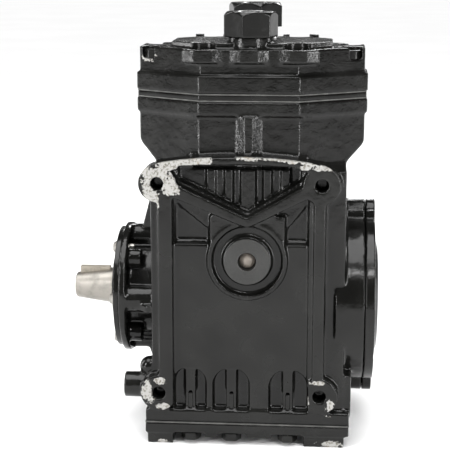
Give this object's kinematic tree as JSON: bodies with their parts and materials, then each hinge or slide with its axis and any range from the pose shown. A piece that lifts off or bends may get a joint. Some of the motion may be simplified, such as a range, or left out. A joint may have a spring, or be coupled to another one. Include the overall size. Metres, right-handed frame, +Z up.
{
  "type": "automotive ac compressor",
  "caption": "Belt-driven two-cylinder reciprocating air-conditioning compressor: cast crankcase, keyed taper shaft, head with capped service ports, tapped side and base mounts.",
  "frame": {"origin": "centre of the four tapped holes in the feet, on the plane the feet stand on", "axes": "+Z up, crankshaft along X with its tapered nose towards -X, tapped side mounting face at -Y"},
  "size_m": [0.2004, 0.118, 0.277],
  "materials": {
    "painted_casting": "glossy black paint over rough casting, worn at edges",
    "painted_head": "glossy black paint over rough casting",
    "painted_cover": "glossy black paint over turned casting",
    "painted_plate": "glossy black paint on steel plate",
    "painted_seal_plate": "black paint with a bare machined boss",
    "cap_black": "glossy black",
    "plug_paint": "satin dark paint",
    "cast_iron": "honed",
    "dark_fastener": "painted over",
    "plated_fastener": "dull plating",
    "machined_steel": "ground",
    "key_steel": "sawn, lightly stained",
    "bearing_steel": "polished",
    "cage_brass": "satin",
    "cast_aluminium": "machined",
    "spring_steel": "blued",
    "seal_rubber": "matt",
    "gasket_fibre": "compressed fibre",
    "seat_iron": "lapped",
    "carbon": "lapped carbon"
  },
  "bodies": {
    "housing": {"crankcase": "painted_casting", "cylinder_sleeve_front": "cast_iron", "cylinder_sleeve_rear": "cast_iron", "base_plate": "painted_casting", "base_plate_gasket": "gasket_fibre", "base_plate_bolts": "dark_fastener", "rear_bearing_cover": "painted_cover", "rear_cover_o_ring": "seal_rubber", "rear_cover_screws": "dark_fastener", "front_bearing_outer_race": "bearing_steel", "rear_bearing_outer_race": "bearing_steel", "seal_plate": "painted_seal_plate", "seal_plate_o_ring": "seal_rubber", "seal_plate_screws": "plated_fastener", "seal_seat_ring": "seat_iron", "valve_plate": "painted_plate", "valve_plate_gasket": "gasket_fibre", "discharge_valve_stops": "spring_steel", "valve_stop_screws": "plated_fastener", "dowel_pins": "plated_fastener", "cylinder_head": "painted_head", "head_gasket": "gasket_fibre", "head_bolts": "dark_fastener", "oil_filler_plug": "plug_paint", "oil_plug_seal": "seal_rubber"},
    "crank": {"crankshaft": "machined_steel", "shaft_key": "key_steel", "front_bearing_inner_race": "bearing_steel", "rear_bearing_inner_race": "bearing_steel", "rotating_seal_ring": "carbon", "seal_spring_washer": "spring_steel", "seal_spring_retainer": "bearing_steel"},
    "front_ball_set": {"front_bearing_balls": "bearing_steel", "front_bearing_cage": "cage_brass"},
    "rear_ball_set": {"rear_bearing_balls": "bearing_steel", "rear_bearing_cage": "cage_brass"},
    "piston_set_front": {"piston_front": "cast_aluminium", "piston_rings_front": "bearing_steel", "wrist_pin_front": "bearing_steel", "wrist_pin_clips_front": "plated_fastener"},
    "rod_set_front": {"connecting_rod_front": "cast_aluminium", "rod_cap_front": "cast_aluminium", "rod_bolts_front": "plated_fastener"},
    "suction_reed_front_leaf": {"suction_reed_front": "spring_steel"},
    "discharge_reed_front_leaf": {"discharge_reed_front": "spring_steel"},
    "piston_set_rear": {"piston_rear": "cast_aluminium", "piston_rings_rear": "bearing_steel", "wrist_pin_rear": "bearing_steel", "wrist_pin_clips_rear": "plated_fastener"},
    "rod_set_rear": {"connecting_rod_rear": "cast_aluminium", "rod_cap_rear": "cast_aluminium", "rod_bolts_rear": "plated_fastener"},
    "suction_reed_rear_leaf": {"suction_reed_rear": "spring_steel"},
    "discharge_reed_rear_leaf": {"discharge_reed_rear": "spring_steel"},
    "suction_cap_set": {"suction_port_cap": "cap_black", "suction_port_cap_seal": "seal_rubber"},
    "discharge_cap_set": {"discharge_port_cap": "cap_black", "discharge_port_cap_seal": "seal_rubber"}
  },
  "joints": [
    {"name": "crank_turn", "type": "hinge", "parent": "housing", "child": "crank", "pos_m": [0, 0, 0.09], "axis": [1, 0, 0], "range_deg": [-12, 12]},
    {"name": "front_balls_turn", "type": "hinge", "parent": "housing", "child": "front_ball_set", "pos_m": [-0.0625, 0, 0.09], "axis": [1, 0, 0], "range_deg": [-6, 6]},
    {"name": "rear_balls_turn", "type": "hinge", "parent": "housing", "child": "rear_ball_set", "pos_m": [0.0725, 0, 0.09], "axis": [1, 0, 0], "range_deg": [-6, 6]},
    {"name": "piston_front_slide", "type": "slide", "parent": "housing", "child": "piston_set_front", "axis": [0, 0, 1], "range_m": [-0.03879, 0.00861]},
    {"name": "rod_front_swing", "type": "hinge", "parent": "piston_set_front", "child": "rod_set_front", "pos_m": [-0.027, 0, 0.19009], "axis": [1, 0, 0], "range_deg": [-4.82, 27.56]},
    {"name": "suction_reed_front_flex", "type": "hinge", "parent": "housing", "child": "suction_reed_front_leaf", "pos_m": [-0.027, 0.0144, 0.21975], "axis": [1, 0, 0], "range_deg": [0, 5], "stiffness_Nm_per_rad": 0.02},
    {"name": "discharge_reed_front_flex", "type": "hinge", "parent": "housing", "child": "discharge_reed_front_leaf", "pos_m": [-0.027, 0.019, 0.22305], "axis": [1, 0, 0], "range_deg": [-8, 0], "stiffness_Nm_per_rad": 0.005},
    {"name": "piston_rear_slide", "type": "slide", "parent": "housing", "child": "piston_set_rear", "axis": [0, 0, 1], "range_m": [-0.00527, 0.04213]},
    {"name": "rod_rear_swing", "type": "hinge", "parent": "piston_set_rear", "child": "rod_set_rear", "pos_m": [0.037, 0, 0.15657], "axis": [1, 0, 0], "range_deg": [-27.56, 4.82]},
    {"name": "suction_reed_rear_flex", "type": "hinge", "parent": "housing", "child": "suction_reed_rear_leaf", "pos_m": [0.037, 0.0144, 0.21975], "axis": [1, 0, 0], "range_deg": [0, 5], "stiffness_Nm_per_rad": 0.02},
    {"name": "discharge_reed_rear_flex", "type": "hinge", "parent": "housing", "child": "discharge_reed_rear_leaf", "pos_m": [0.037, 0.019, 0.22305], "axis": [1, 0, 0], "range_deg": [-8, 0], "stiffness_Nm_per_rad": 0.005},
    {"name": "suction_cap_lift", "type": "slide", "parent": "housing", "child": "suction_cap_set", "axis": [0, 0, 1], "range_m": [0, 0.06]},
    {"name": "discharge_cap_lift", "type": "slide", "parent": "housing", "child": "discharge_cap_set", "axis": [0, 0, 1], "range_m": [0, 0.06]}
  ],
  "couplings": [
    {"joint": "front_balls_turn", "follows": "crank_turn", "ratio": 0.3987},
    {"joint": "rear_balls_turn", "follows": "crank_turn", "ratio": 0.3987},
    {"joint": "piston_front_slide", "follows": "crank_turn", "m_per_rad": -0.020129},
    {"joint": "rod_front_swing", "follows": "crank_turn", "ratio": -0.20111},
    {"joint": "piston_rear_slide", "follows": "crank_turn", "m_per_rad": 0.013388},
    {"joint": "rod_rear_swing", "follows": "crank_turn", "ratio": 0.20111}
  ]
}
